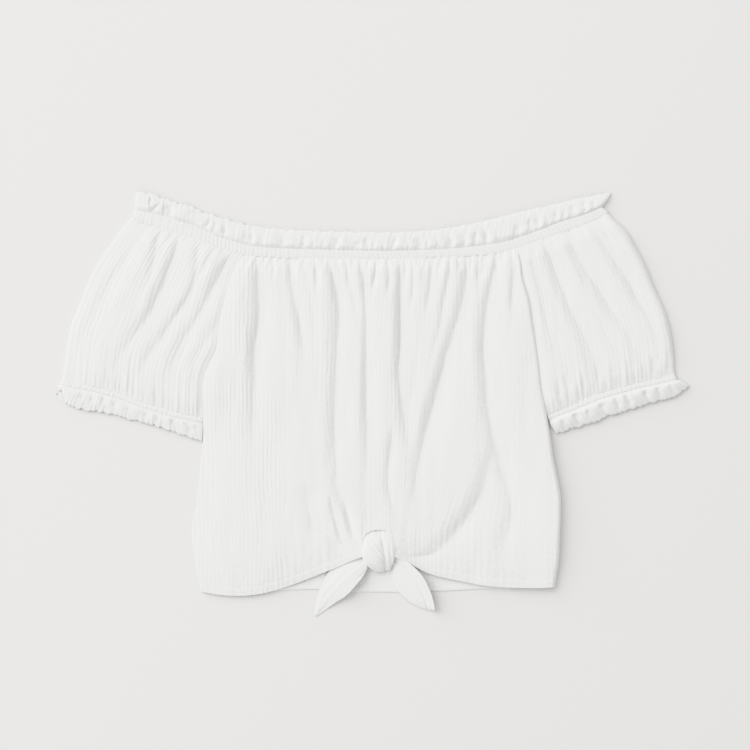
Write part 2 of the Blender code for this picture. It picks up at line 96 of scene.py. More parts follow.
bodyRight = [(518, 247.6), (521, 265), (523, 280), (529, 300), (532, 320), (536, 345), (539, 365),
             (541, 385), (546, 410), (550, 432), (554, 460), (560, 490), (561, 510), (560, 540),
             (559, 560), (556, 580), (555, 587)]
frontHemLeft = [(202, 592), (220, 595), (240, 596), (260, 594), (280, 589), (300, 582), (320, 574),
                (340, 566), (353, 560), (364.3, 556)]
keyhole = [(364.3, 556), (363.8, 549), (363.6, 541), (365, 535.5), (368.5, 532), (375, 529.8),
           (384, 529.8), (389.5, 533), (392, 538), (392.9, 547), (393, 556)]
frontHemRight = [(393, 556), (400, 559), (412, 565), (425, 572), (440, 577), (460, 581), (480, 585),
                 (500, 587), (520, 588), (540, 588), (555, 587)]
backHem = [(202.6, 590), (250, 590), (312, 588), (340, 590), (400, 591), (440, 590), (480, 588),
           (520, 586.5), (554.6, 585.6)]
leftSleeveOuter = [(133, 218), (128, 221), (119, 232), (108, 248), (99, 261), (92, 274), (85, 290),
                   (78, 308), (72, 322), (69, 335), (66, 351), (64, 367), (62, 380)]
rightSleeveOuter = [(608, 212), (614, 219), (624, 228), (630, 236), (639, 252), (646, 266),
                    (652, 281), (659, 297), (664, 308), (668, 320), (672, 338), (674, 356), (675, 375)]
leftCuffSeam = [(203, 418), (179, 413), (157, 407), (139, 401), (121, 394), (99, 388), (80, 384), (62, 380)]
leftCasingEdge = [(202.6, 423), (178, 418), (156, 412), (138, 406), (120, 399), (98, 393),
                  (79, 389), (60, 384.5)]
leftCuffHem = [(202.4, 441.5), (182, 435), (170, 431), (152, 425), (140, 422), (123, 418),
               (103, 412.5), (83, 410), (65, 404), (54, 395)]
rightCuffSeam = [(547.2, 415), (575, 404), (600, 394), (620, 388), (639, 383), (657, 379), (675, 375)]
rightCasingEdge = [(549.2, 420), (577, 409), (602, 399), (622, 393), (641, 388), (659, 384), (677, 379.5)]
rightCuffHem = [(556, 435), (569, 430), (582, 426), (598, 421), (607, 416.5), (620, 413), (636, 408),
                (652, 403), (675, 396.5), (683, 391), (690.4, 385.6)]


def smoothLine(points, steps=16):
    p = np.array(points, float)
    p = np.vstack([2 * p[0] - p[1], p, 2 * p[-1] - p[-2]])
    out = []
    for a, b, c, d in zip(p[:-3], p[1:-2], p[2:-1], p[3:]):
        t = np.arange(steps)[:, None] / steps
        out.append(0.5 * (2 * b + (c - a) * t + (2 * a - 5 * b + 4 * c - d) * t**2
                          + (3 * b - a - 3 * c + d) * t**3))
    return np.vstack([*out, p[-2:-1]])


def lineLength(line):
    return np.linalg.norm(np.diff(line, axis=0), axis=1).sum()


def spaced(line, where):
    # Points at these shares of the line's length
    along = np.concatenate([[0], np.cumsum(np.linalg.norm(np.diff(line, axis=0), axis=1))])
    at = np.asarray(where) * along[-1]
    return np.stack([np.interp(at, along, line[:, k]) for k in (0, 1)], axis=-1)


def cutAt(line, axis, value):
    rising = line[-1, axis] > line[0, axis]
    i = int(np.argmax(line[:, axis] > value if rising else line[:, axis] < value))
    t = (value - line[i - 1, axis]) / (line[i, axis] - line[i - 1, axis])
    end = line[i - 1] + t * (line[i] - line[i - 1])
    return np.vstack([line[:i], end]), np.vstack([end, line[i:]])


def patch(top, bottom, left, right, u, v):
    # A patch between four edges; u runs across it and v down
    u, v = u[None, :, None], v[:, None, None]
    corners = (1 - v) * ((1 - u) * top[0] + u * top[-1]) + v * ((1 - u) * bottom[0] + u * bottom[-1])
    return ((1 - v) * top[None] + v * bottom[None] + (1 - u) * left[:, None] + u * right[:, None] - corners)


def toWorld(plan, height):
    x = (plan[..., 0] - planMiddle[0]) * planUnit
    y = (planMiddle[1] - plan[..., 1]) * planUnit
    return np.stack([x, y, np.broadcast_to(height, x.shape)], axis=-1)


def unit(vectors):
    return vectors / np.linalg.norm(vectors, axis=-1, keepdims=True)


# How the cloth folds

# A valley: the plan points along its shaded wall, its depth as a share of the puff, the width of
# that wall's steep part, and the reach of the gentle wall that faces the light
bodyFolds = [
    (256, 252, 257, 300, 253, 350, 252, 400, 249, 485, 0.95, 4.0, 13),
    (288, 257, 293, 300, 301, 340, 303, 378, 0.65, 3, 10),
    (327, 257, 336, 300, 334, 360, 332, 430, 336, 500, 346, 535, 0.80, 4.2, 12),
    (345, 257, 347, 282, 353, 302, 358, 326, 0.45, 2.2, 6),
    (359, 257, 363, 295, 364, 340, 365, 440, 363, 512, 0.65, 2.6, 10),
    (398, 252, 399, 320, 398, 390, 410, 460, 0.90, 3.0, 10),
    (392, 428, 386, 470, 389, 500, 397, 532, 0.60, 3.5, 7),
    (411, 256, 412, 278, 411, 298, 404, 324, 0.40, 1.8, 5),
    (429, 256, 431, 270, 427, 300, 424, 322, 0.36, 1.8, 5),
    (463, 256, 464, 275, 459, 305, 447, 345, 420, 450, 401, 545, 0.92, 3.8, 14),
    (496, 252, 485, 300, 482, 345, 487, 415, 499, 470, 508, 508, 500, 556, 0.82, 4.0, 14),
    (491, 446, 474, 500, 442, 541, 410, 555, 380, 561, 0.80, 5.0, 14),
    (446, 542, 432, 553, 404, 556, 0.50, 1.1, 3),
    (494, 440, 508, 500, 504, 535, 493, 562, 0.45, 5, 12),
    (510, 250, 512, 270, 510, 300, 508, 332, 0.45, 2.5, 7),
    (300, 482, 305, 508, 314, 534, 330, 552, 0.52, 7, 11),
    (297, 410, 299, 470, 300, 530, 312, 556, -0.20, 5, 9),
    (318, 524, 328, 539, 340, 550, 358, 557, 0.50, 1.8, 5),
    (329, 496, 334, 520, 342, 544, 356, 556, 0.45, 1.6, 4),
    (337, 490, 347, 520, 354, 540, 366, 553, 0.70, 2.0, 5),
    (262, 300, 268, 360, 274, 430, 275, 470, 0.22, 9, 12),
    (420, 300, 412, 370, 405, 420, 408, 460, 0.30, 5, 9),
    (300, 257, 306, 285, 311, 320, 314, 370, 0.30, 3, 8),
    (449, 256, 448, 272, 443, 300, 438, 330, 424, 375, 0.45, 2.6, 7),
    (526, 270, 528, 330, 534, 390, 538, 430, 0.15, 8, 12),
]
# Short pleats that run out of the elastic
bodyPleats = [
    (270, 254, 273, 276, 0.50, 1.6, 3), (288, 256, 290, 280, 0.45, 1.4, 4),
    (314, 257, 315, 276, 316, 302, 0.45, 1.4, 4), (336, 256, 340, 280, 0.40, 1.3, 3),
    (375, 256, 374, 276, 371, 298, 0.50, 1.4, 4), (386, 256, 388, 272, 386, 300, 0.40, 1.4, 4),
    (403, 256, 404, 276, 401, 300, 0.45, 1.4, 3),
    (440, 256, 436, 276, 0.35, 1.3, 3), (456, 255, 460, 274, 0.40, 1.3, 3),
    (484, 251, 479, 284, 0.55, 2.0, 5), (494, 250, 496, 282, 0.50, 1.8, 4), (502, 249, 500, 266, 0.35, 1.6, 3),
    (247, 252, 244, 266, 0.35, 1.6, 3), (264, 254, 264, 268, 0.35, 1.4, 3), (280, 256, 281, 272, 0.35, 1.4, 3),
    (322, 257, 324, 270, 0.35, 1.4, 3), (353, 257, 354, 272, 0.35, 1.4, 3), (367, 257, 366, 270, 0.35, 1.4, 3),
    (380, 257, 380, 268, 0.30, 1.4, 3), (392, 257, 393, 268, 0.30, 1.4, 3), (420, 256, 421, 270, 0.30, 1.4, 3),
    (471, 254, 469, 276, 0.35, 1.3, 3), (478, 252, 477, 300, 0.40, 1.4, 4),
]
leftSleeveFolds = [
    (151, 224, 127, 252, 95, 305, 70, 364, 0.60, 3.5, 9),
    (162, 227, 156, 240, 153, 262, 146, 290, 0.55, 2.5, 5),
    (181, 231, 171, 258, 150, 310, 125, 345, 105, 378, 0.90, 4, 12),
    (196, 237, 195, 255, 190, 290, 165, 330, 132, 385, 0.60, 3, 8),
    (184, 300, 168, 325, 148, 352, 128, 386, 0.40, 4, 7),
    (216, 243, 206, 260, 200, 272, 196, 284, 0.40, 2, 4),
    (231, 248, 221, 268, 198, 310, 176, 350, 158, 392, 0.90, 4.5, 12),
    (225, 300, 210, 330, 196, 358, 186, 400, 0.35, 4, 8),
    (120, 262, 100, 300, 84, 340, 76, 372, 0.25, 5, 8),
]
leftSleevePleats = [
    (143, 221, 134, 232, 0.35, 1.6, 3), (171, 230, 168, 244, 0.30, 1.4, 3), (186, 234, 184, 244, 0.30, 1.4, 3),
    (201, 239, 198, 254, 0.35, 1.6, 3), (208, 241, 205, 252, 0.30, 1.4, 3), (236, 249, 231, 262, 0.40, 1.6, 3),
    (224, 246, 221, 256, 0.30, 1.4, 3), (190, 235, 189, 246, 0.30, 1.4, 3),
]
rightSleeveFolds = [
    (540, 240, 552, 268, 565, 302, 585, 345, 600, 388, 0.90, 4, 12),
    (563, 231, 575, 255, 597, 292, 622, 330, 643, 374, 0.85, 4, 12),
    (588, 222, 605, 250, 632, 292, 650, 330, 661, 374, 0.80, 4, 11),
    (598, 218, 602, 228, 608, 240, 616, 254, 0.40, 2.5, 4),
    (526, 250, 536, 290, 552, 350, 570, 402, 0.40, 5, 10),
    (552, 330, 562, 355, 570, 380, 577, 402, 0.30, 3, 6),
    (585, 300, 598, 325, 612, 352, 620, 380, 0.25, 5, 9),
]
rightSleevePleats = [
    (549, 236, 552, 250, 0.35, 1.6, 3), (556, 233, 560, 246, 0.40, 1.6, 3), (571, 228, 576, 240, 0.35, 1.6, 3),
    (579, 225, 585, 238, 0.35, 1.6, 3), (531, 243, 534, 258, 0.40, 1.6, 3), (522, 246, 524, 262, 0.35, 1.6, 3),
    (556, 378, 560, 408, 0.40, 2, 4), (566, 376, 570, 405, 0.35, 1.6, 3), (582, 374, 585, 400, 0.40, 2, 4),
    (594, 362, 598, 395, 0.40, 2, 4), (610, 364, 613, 390, 0.22, 1.8, 3), (628, 358, 632, 384, 0.22, 1.8, 3),
    (652, 356, 655, 378, 0.45, 2, 4), (668, 350, 668, 374, 0.30, 1.6, 3),
]


# A valley that starts above elasticLine leaves the elastic, so it starts deep at once, and the
# others fade in. Depths are shares of its own, runs are shares of its length.
valleyForm = {"steps": 60, "elasticLine": 262, "elasticDepth": 0.55, "elasticRun": 0.15, "openDepth": 0.08,
              "openRun": 0.4, "endDepth": 0.1, "endRun": 0.5, "pinch": 0.5, "pinchRun": 0.18, "waver": 0.16,
              "reach": 4, "shadedWidth": 3.4, "shadedPower": 2.1, "gentlePower": 1.5}


def valley(plan, fold):
    # How deep this fold cuts at each plan point
    f = valleyForm
    *points, depth, steep, gentle = fold
    line = spaced(smoothLine(np.reshape(points, (-1, 2))), np.linspace(0, 1, f["steps"] + 1))
    ahead = np.gradient(line, axis=0)
    spacing = lineLength(line) / (2 * f["steps"])
    kind = "elastic" if points[1] < f["elasticLine"] else "open"
    first = f[kind + "Depth"]
    reach = f["reach"] * max(steep, gentle)
    low, high = line.min(axis=0) - reach, line.max(axis=0) + reach
    inside = ((plan > low) & (plan < high)).all(axis=-1)
    here = plan[inside]
    found = np.zeros(plan.shape[:2])
    batch = 6000
    cut = np.zeros(len(here))
    for i in range(0, len(here), batch):
        gap = here[i:i + batch, None] - line
        near = np.argmin((gap**2).sum(-1), axis=-1)
        to = gap[np.arange(len(near)), near]
        along = unit(ahead[near])
        share = near / f["steps"]
        narrow = f["pinch"] + (1 - f["pinch"]) * np.clip(share / f["pinchRun"], 0, 1)
        side = (to[:, 0] * along[:, 1] - to[:, 1] * along[:, 0]) / narrow - 0.5 * steep
        beyond = np.maximum(np.abs((to * along).sum(-1)) - spacing, 0)
        away = np.hypot(side, beyond)
        start = np.clip(share / f[kind + "Run"], 0, 1)
        end = np.clip((1 - share) / f["endRun"], 0, 1)
        fade = first + (1 - first) * start * (2 - start)
        fade = fade * (f["endDepth"] + (1 - f["endDepth"]) * end**2 * (3 - 2 * end))
        fade = fade * (1 - f["waver"] + f["waver"] * np.sin(10 * share + 3 * steep + points[0]))
        shaded = np.clip(1 - away / (f["shadedWidth"] * steep), 0, 1) ** f["shadedPower"]
        wall = np.where(side < 0, shaded, np.exp(-((away / gentle) ** f["gentlePower"])))
        cut[i:i + batch] = depth * fade * wall
    found[inside] = cut
    return found


def fullness(plan, folds):
    # The share of the puff that the folds leave; the plan is bent a little, so that they waver
    x, y = plan[..., 0], plan[..., 1]
    bent = plan.copy()
    bent[..., 0] += 0.9 * softNoise(x, y, 10, 28, 5) + 0.5 * softNoise(x, y, 4, 12, 6)
    left = np.ones(plan.shape[:2])
    for fold in folds:
        left = left * (1 - valley(bent, fold))
    return left


def unevenPhase(share, count, seed):
    # The phase of count waves along a piece, some closer and some wider
    drift = 0.35 * np.sin(2 * math.pi * (2.3 * share + 0.17 * seed))
    drift = drift + 0.22 * np.sin(2 * math.pi * (5.7 * share + 0.41 * seed))
    return 2 * math.pi * (count * share + drift)


def gathers(share, count, seed):
    height = 0.75 + 0.25 * np.sin(2 * math.pi * (3.1 * share + 0.29 * seed))
    return height * (0.5 + 0.5 * np.sin(unevenPhase(share, count, seed)))


ribSpacing = 4.1  # in plan units, so 4.8 mm


def crinkle(across, along, seed):
    # The gauze's crinkle ribs: uneven ridges that wander along the grain
    wander = 0.45 * softNoise(across, along, 16, 60, seed) + 0.16 * softNoise(across, along, 6, 14, seed + 1)
    ridge = 0.5 + 0.5 * np.sin(2 * math.pi * (across / ribSpacing + wander))
    strength = 0.8 + 0.35 * softNoise(across, along, 9, 30, seed + 2)
    soft = softNoise(across, along, 3.0, 9, seed + 3)
    return strength * ridge**0.7 + 0.3 * soft


def rounded(distance, reach):
    # Rises from 0 to 1 as a quarter circle does, upright at the edge
    t = np.clip(distance / reach, 0, 1)
    return np.sqrt(t * (2 - t))


def eased(distance, reach):
    # Rises from 0 to 1 with a slanted start, so that the edge has no black line
    return np.sin(math.pi / 2 * np.clip(distance / reach, 0, 1))


# Turning points into cloth


def hiddenSide(shown, wall, floor):
    # The inner side of a wall: deeper where the cloth slopes, so that it stays equally thick
    steepest = 2.0
    slope = 0.0
    for axis in (0, 1):
        step = np.gradient(shown, axis=axis)
        slope = slope + (step[..., 2] / np.maximum(np.linalg.norm(step[..., :2], axis=-1), 1e-6)) ** 2
    hidden = shown.copy()
    thick = wall * np.sqrt(1 + np.minimum(slope, steepest))
    hidden[..., 2] = np.maximum(shown[..., 2] - thick, floor)
    return hidden


def layCloth(name, shown, hidden, cut, material):
    # A sheet between its shown and hidden points, or a closed form where hidden is None.
    # cut gives each point's place on the flat cut.
    rows, columns = shown.shape[:2]
    bm = bmesh.new()
    bmesh.ops.create_grid(bm, x_segments=columns - 1, y_segments=rows - 1, size=1)
    row = bm.verts.layers.int.new("row")
    column = bm.verts.layers.int.new("column")
    grain = bm.loops.layers.uv.new("cut")
    for vert in bm.verts:
        vert[row] = round((vert.co.y + 1) / 2 * (rows - 1))
        vert[column] = round((vert.co.x + 1) / 2 * (columns - 1))
        vert.co = shown[vert[row], vert[column]]
    for face in bm.faces:
        face.smooth = True
        for loop in face.loops:
            loop[grain].uv = cut[loop.vert[row], loop.vert[column]]
    bmesh.ops.remove_doubles(bm, verts=bm.verts, dist=1e-7)
    bmesh.ops.recalc_face_normals(bm, faces=bm.faces)
    if hidden is None:
        bmesh.ops.holes_fill(bm, edges=[edge for edge in bm.edges if edge.is_boundary])
        for face in bm.faces:
            face.smooth = True
    else:
        for part in bmesh.ops.extrude_face_region(bm, geom=bm.faces[:])["geom"]:
            if isinstance(part, bmesh.types.BMVert):
                part.co = hidden[part[row], part[column]]
    bmesh.ops.recalc_face_normals(bm, faces=bm.faces)
    mesh = bpy.data.meshes.new(name)
    bm.to_mesh(mesh)
    bm.free()
    mesh.materials.append(material)
    piece = bpy.data.objects.new(name, mesh)
    bpy.context.scene.collection.objects.link(piece)
    print(f"{name}: {len(mesh.polygons)} faces")
    return piece


def cutPlaces(across, along):
    # Places on the flat cut, in metres
    shape = np.broadcast_shapes(across.shape, along.shape)
    return np.stack([np.broadcast_to(across, shape), np.broadcast_to(along, shape)], axis=-1) * planUnit


# Materials


threadSpacing = 0.476  # mm
weaveCoarseness = 3
slubWide, slubLong = 1.111, 3.85  # mm
slubToneAndShadeColours = "#EBEBEA", "#F3F3F2"  # darker in a slub's hollow and lighter on its crest: partly the thread's own uneven tone, partly painted shade in the hollow and painted light on the crest


def perMetre(millimetres):
    return round(1000 / millimetres)


def gauzeMaterial(name, bumpDepth):
    # Bleached cotton gauze, woven and washed to crinkle: matte threads that never gloss, with a
    # soft bloom at grazing angles, and open enough that its shade glows a little
    material = bpy.data.materials.new(name)
    material.use_nodes = True
    tree = material.node_tree
    shader = tree.nodes["Principled BSDF"]
    for socket, value in (("Roughness", 0.92), ("Specular IOR Level", 0.18), ("Sheen Weight", 0.18),
                          ("Sheen Roughness", 0.5), ("Subsurface Weight", 0.12),
                          ("Subsurface Scale", 0.0015), ("Subsurface Radius", (1, 1, 1))):
        shader.inputs[socket].default_value = value
    place = addNode(tree, "ShaderNodeUVMap", {"uv_map": "cut"})
    # Slubs, where a thread thickens, longer along the grain than across it
    slubScale = (perMetre(slubWide), perMetre(slubLong), 1)
    slubMap = addNode(tree, "ShaderNodeMapping", {"Scale": slubScale}, Vector=(place, "UV"))
    slubs = addNode(tree, "ShaderNodeTexNoise", {"Scale": 1, "Detail": 3, "Roughness": 0.6},
                    Vector=(slubMap, "Vector"))
    # The weave, drawn three times as coarse as its real thread spacing, to show at all
    weaveCount = perMetre(threadSpacing * weaveCoarseness)
    weaveMap = addNode(tree, "ShaderNodeMapping", {"Scale": (weaveCount, weaveCount, 1)}, Vector=(place, "UV"))
    weave = addNode(tree, "ShaderNodeTexNoise", {"Scale": 1, "Detail": 1, "Roughness": 0.5},
                    Vector=(weaveMap, "Vector"))
    # The slubs' noise also sets the colour: the thread's uneven tone, with painted shade in the hollows and
    # painted light on the crests of the same relief the bump makes
    slubToneAndShade = addNode(tree, "ShaderNodeMapRange", {"From Min": 0.3, "From Max": 0.7}, Value=(slubs, "Fac"))
    # A colour mix has its factor at socket 0, its colours at 6 and 7 and its result at 2
    colour = addNode(tree, "ShaderNodeMix", {"data_type": "RGBA"})
    for socket, hexText in zip((6, 7), slubToneAndShadeColours):
        colour.inputs[socket].default_value = toLinear(hexText)
    tree.links.new(slubToneAndShade.outputs["Result"], colour.inputs[0])
    tree.links.new(colour.outputs[2], shader.inputs["Base Color"])
    relief = addNode(tree, "ShaderNodeMath", {"operation": "ADD"})
    tree.links.new(slubs.outputs["Fac"], relief.inputs[0])
    tree.links.new(weave.outputs["Fac"], relief.inputs[1])
    bump = addNode(tree, "ShaderNodeBump", {"Strength": 0.5, "Distance": bumpDepth}, Height=(relief, "Value"))
    tree.links.new(bump.outputs["Normal"], shader.inputs["Normal"])
    return material


laidGauze = gauzeMaterial("crinkled cotton gauze", 0.0003)
gatheredGauze = gauzeMaterial("gathered cotton gauze", 0.0003)
knottedGauze = gauzeMaterial("knotted cotton gauze", 0.0004)
print("materials done")

# Camera, straight above

pictureSide = 750  # in plan units
eyeHeight, focusHeight = 2.6, 0.004
camera = bpy.data.cameras.new("camera")
camera.sensor_width = 36
camera.lens = camera.sensor_width * eyeHeight / (pictureSide * planUnit)
camera.clip_start, camera.clip_end = 0.05, 20
eye = bpy.data.objects.new("camera", camera)
eye.location = ((pictureSide / 2 - planMiddle[0]) * planUnit, (planMiddle[1] - pictureSide / 2) * planUnit,
                eyeHeight + focusHeight)
bpy.context.scene.collection.objects.link(eye)
bpy.context.scene.camera = eye

# Panels

frontPanel = {"columns": 420, "rows": 112, "wall": 0.0006, "lift": 0.0024, "puff": 0.0064,
              "rib": 0.00046, "wrinkle": 0.0005, "hemDepth": 8, "length": 330, "width": 310,
              "hemShares": (0, 0.42, 0.66, 1), "lowest": 0.0019, "freeBelow": 395, "heldLeft": 0.55,
              "heldRight": 0.42, "nearKnot": 46, "hemRoll": 46, "neckRoll": 17, "rightSwell": 0.0024,
              "knotSwell": 0.0030, "hemFold": 0.0003, "hemPucker": 0.00018, "stitchDip": 0.0003}
backPanel = {"columns": 240, "rows": 90, "wall": 0.0008, "rib": 0.00024, "width": 320, "top": 0.00115}
knotMiddle, knotHalf = 378, 15
lightRibs = 0.5  # the share of the ribs' height that is left on the smoother right side


def neckParts():
    seam = smoothLine(neckSeam)
    leftPart, rest = cutAt(seam, 0, bodyLeft[0][0])
    middle, rightPart = cutAt(rest, 0, bodyRight[0][0])
    return leftPart, middle, rightPart


neckLengths = [lineLength(part) for part in neckParts()]
neckWhole = sum(neckLengths)


def closerAtEnds(count, length, band, share):
    # Shares from 0 to 1, with the rows nearer each other in a band at each end
    ends = int(count * share)
    first = np.linspace(-seamLap / length, band / length, ends + 1)
    middle = np.linspace(band / length, 1 - band / length, count - 2 * ends + 1)
    return np.clip(np.concatenate([first, middle[1:], (1 - first[::-1])[1:]]), 0, 1)


def frontBottom(u):
    found = np.zeros((len(u), 2))
    shares = frontPanel["hemShares"]
    for start, end, part in zip(shares[:-1], shares[1:], (frontHemLeft, keyhole, frontHemRight)):
        inside = (u >= start) & (u <= end)
        found[inside] = spaced(smoothLine(part), (u[inside] - start) / (end - start))
    return found


def panelPlan(bottom, columns, rows):
    u = np.linspace(0, 1, columns + 1)
    v = closerAtEnds(rows, frontPanel["length"], 24, 0.2)
    top = spaced(neckParts()[1], u)
    plan = patch(top, bottom(u), spaced(smoothLine(bodyLeft), v), spaced(smoothLine(bodyRight), v), u, v)
    return plan, u[None], v[:, None]


def neckGathers(neckShare, down):
    # What the elastic draws up: coarse gathers that run on a little and fine ones that soon end
    coarse = gathers(neckShare, 58, 1) * np.exp(-down / 11)
    fine = gathers(neckShare, 110, 2) * np.exp(-down / 5)
    return 0.30 * coarse + 0.16 * fine


def grainAcross(plan):
    # Where a point's thread sits across the cloth: straight down, then drawn in to the knot
    x, y = plan[..., 0], plan[..., 1]
    t = np.clip((y - 400) / 150, 0, 1.1)
    thread = x.copy()
    for _ in range(14):
        target = knotMiddle + np.clip(thread - knotMiddle, -knotHalf, knotHalf)
        drawn = np.clip((thread - 285) / 40, 0, 1) * np.clip((520 - thread) / 90, 0, 1)
        thread = 0.5 * thread + 0.5 * (x - (target - thread) * drawn * np.clip(t, 0, 0.85) ** 1.6)
    return thread


# Where the crinkle is stronger or weaker on the front: x, y, half width, half height, change
ribPlaces = [
    (277, 310, 17, 90, -0.6), (303, 470, 15, 70, -0.8), (243, 350, 9, 100, 0.6), (270, 450, 14, 60, 0.4),
    (330, 400, 9, 130, 0.3), (350, 420, 10, 120, -0.3), (338, 525, 12, 25, 0.7), (430, 530, 40, 40, 0.7),
    (225, 560, 30, 40, -0.2),
]


def ribShare(x, y):
    share = lightRibs + (1 - lightRibs) * np.clip((330 - x) / 60, 0, 1)
    for px, py, wide, tall, change in ribPlaces:
        share = share + change * np.exp(-(((x - px) / wide) ** 2) - ((y - py) / tall) ** 2)
    return np.maximum(share, 0)


def frontHeight(plan, u, v):
    f = frontPanel
    x, y = plan[..., 0], plan[..., 1]
    width = np.linalg.norm(plan[:, -1] - plan[:, 0], axis=-1)[:, None]
    fromNeck = v * f["length"]
    toHem = (1 - v) * f["length"]
    puff = fullness(plan, bodyFolds + bodyPleats)
    neckShare = (neckLengths[0] + neckLengths[1] * u) / neckWhole
    puff = puff * (1 - neckGathers(neckShare, fromNeck))
    # The sides are held up by the sleeves' seams and fall to the surface where they are free
    free = np.clip((y - f["freeBelow"]) / 40, 0, 1)
    leftRim = eased(u * width, 16 + 14 * free)
    rightRim = rounded((1 - u) * width, 3)
    left, right = f["heldLeft"] * (1 - free), f["heldRight"] * (1 - free)
    puff = puff * (1 - f["heldLeft"] * free * np.clip(1 - u * width / 90, 0, 1))
    puff = puff * (left + (1 - left) * leftRim) * (right + (1 - right) * rightRim)
    # The hem lies flat but for its right half and where the knot lifts it
    byKnot = np.exp(-(((x - knotMiddle) / f["nearKnot"]) ** 2))
    atHem = 0.16 + 0.24 * np.clip((x - 430) / 60, 0, 1) + 0.74 * byKnot
    puff = puff * (atHem + (1 - atHem) * eased(toHem, f["hemRoll"]))
    puff = puff * (0.3 + 0.7 * eased(fromNeck, f["neckRoll"]))
    height = f["lift"] + f["puff"] * puff
    height = height + f["rightSwell"] * free * np.clip((x - 500) / 45, 0, 1) * rightRim
    height = height + f["knotSwell"] * np.exp(-(((x - knotMiddle) / 24) ** 2) - ((y - 548) / 20) ** 2)
    wrinkles = 1.7 * softNoise(x, y, 20, 110, 21) + 0.8 * softNoise(x, y, 9, 40, 22)
    ribs = crinkle(grainAcross(plan), fromNeck + 0 * x, 31) * ribShare(x, y)
    height = height + f["wrinkle"] * wrinkles * (0.3 + 0.7 * puff) + f["rib"] * ribs
    # The hem's turned fold ends at a line of stitches that draws the cloth in
    stitched = np.exp(-(((toHem - f["hemDepth"]) / 0.8) ** 2))
    hemBand = np.clip((f["hemDepth"] + 0.6 - toHem) / 1.2, 0, 1)
    pucker = gathers(u, 95, 9) * np.exp(-np.abs(toHem - f["hemDepth"]) / 5)
    height = height + f["hemFold"] * hemBand + f["hemPucker"] * pucker - f["stitchDip"] * stitched
    return np.maximum(height, f["lowest"])


plan, u, v = panelPlan(frontBottom, frontPanel["columns"], frontPanel["rows"])
shown = toWorld(plan, frontHeight(plan, u, v))
cut = cutPlaces(u * frontPanel["width"], v * frontPanel["length"])
hidden = hiddenSide(shown, frontPanel["wall"], 0.0013)
hemBelow = shown[-1, :, 1] < np.interp(shown[-1, :, 0], *toWorld(smoothLine(backHem), 0)[:, :2].T)
hidden[-1, :, 2] = np.where(hemBelow, 0.0001, 0.00115)
hidden[:, [0, -1], 2] = 0.0011
frontPiece = layCloth("front_cloth", shown, hidden, cut, laidGauze)


def backBottom(u):
    return spaced(smoothLine(backHem), u)


plan, u, v = panelPlan(backBottom, backPanel["columns"], backPanel["rows"])
toHem = (1 - v) * frontPanel["length"]
across, down = u * backPanel["width"], v * frontPanel["length"]
top = backPanel["wall"] + backPanel["rib"] * np.clip(crinkle(across, down, 41), 0, 1.2)
hem = frontPanel["hemDepth"]
top = top + 0.0001 * (toHem < hem) - 0.0002 * np.exp(-(((toHem - hem) / 0.8) ** 2))
top = np.minimum(top, backPanel["top"]) * (0.45 + 0.55 * rounded(toHem, 2.5))
cut = cutPlaces(across, down)
backPiece = layCloth("back_cloth", toWorld(plan, top), toWorld(plan, 0), cut, laidGauze)
print("panels done")

# Wrapped pieces: sleeves, casings and ruffles

turnSteps = 6


def turnUnder(start, outwards, height, wall):
    # The half turn at a fold, from the front layer to the back one
    shown, hidden = [], []
    for step in range(1, turnSteps):
        angle = math.pi * (0.5 - step / turnSteps)
        for points, radius in ((shown, height / 2), (hidden, height / 2 - wall)):
            plan = start + outwards * (radius / planUnit * math.cos(angle))[:, None]
            points.append(toWorld(plan, height / 2 + radius * math.sin(angle)))
    return np.stack(shown, 1), np.stack(hidden, 1)


sleeveShape = {"columns": 156, "rows": 76, "wall": 0.0006, "fold": 0.0032, "puff": 0.0050,
               "rib": 0.00042, "wrinkle": 0.0005, "length": 165, "width": 130, "lowest": 0.0022,
               "seamRoll": 10, "endRoll": 17, "neckKept": 0.22, "cuffKept": 0.14}
# seamKept is the puff that is left at the body's seam, rim and rimReach form the outer fold, and
# outerDrop is how far the puff falls towards it
leftSleeveForm = {"seed": 3, "seamKept": 0.30, "rim": eased, "rimReach": 30, "outerDrop": 0.4, "ribs": 1.0}
rightSleeveForm = {"seed": 6, "seamKept": 0.38, "rim": rounded, "rimReach": 9, "outerDrop": 0.0, "ribs": 0.6}


